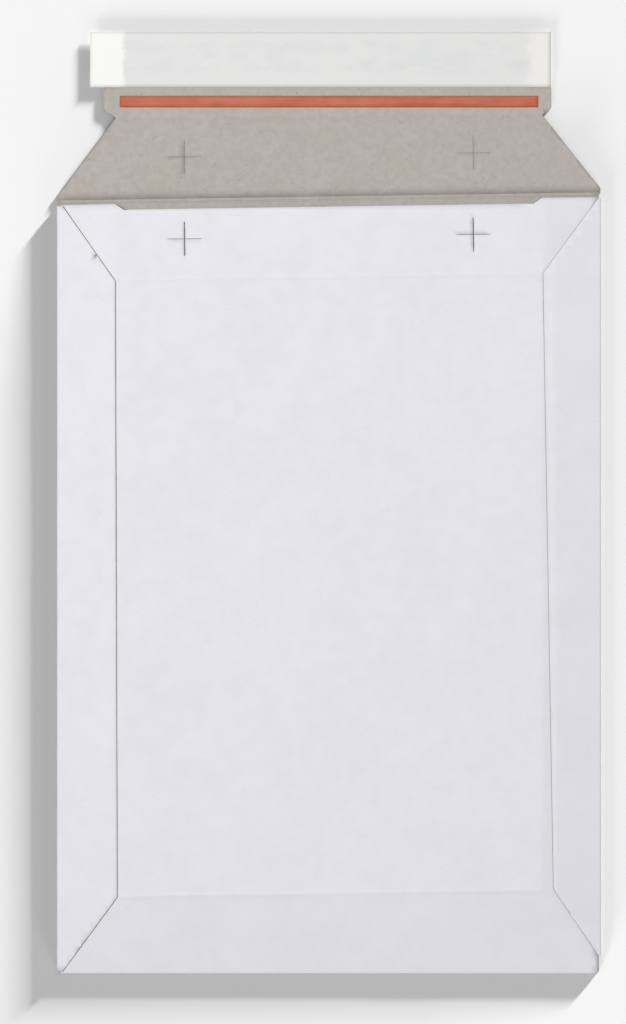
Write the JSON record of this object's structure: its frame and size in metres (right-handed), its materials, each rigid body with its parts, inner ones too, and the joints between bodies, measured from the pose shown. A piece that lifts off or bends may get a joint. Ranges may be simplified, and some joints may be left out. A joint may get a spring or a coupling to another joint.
{
  "type": "board mailing envelope",
  "caption": "Flat rigid board mailer with a hinged self-seal flap, a tear tape and a covered adhesive strip, lying open on its back.",
  "frame": {"origin": "middle of the footprint with the flap open flat, on the surface that the mailer lies on", "axes": "+Z out of the front panel, +Y from the bottom fold towards the closing flap, +X to the right when the front panel is seen with the flap at the top"},
  "size_m": [0.25, 0.4328, 0.0067],
  "materials": {
    "white_board": "matt white coated board",
    "grey_board": "matt grey recycled board",
    "tear_tape": "satin film",
    "adhesive": "tacky film",
    "release_paper": "silicone-coated paper"
  },
  "bodies": {
    "pocket_body": {"pocket": "white_board"},
    "flap_body": {"closing_flap": "grey_board", "tear_tape": "tear_tape", "adhesive_strip": "adhesive", "release_liner": "release_paper"}
  },
  "joints": [
    {"name": "flap_fold", "type": "hinge", "parent": "pocket_body", "child": "flap_body", "pos_m": [0, 0.1402, 0.0041], "axis": [0.9999, 0.0148, 0], "range_deg": [0, 179.5]}
  ]
}
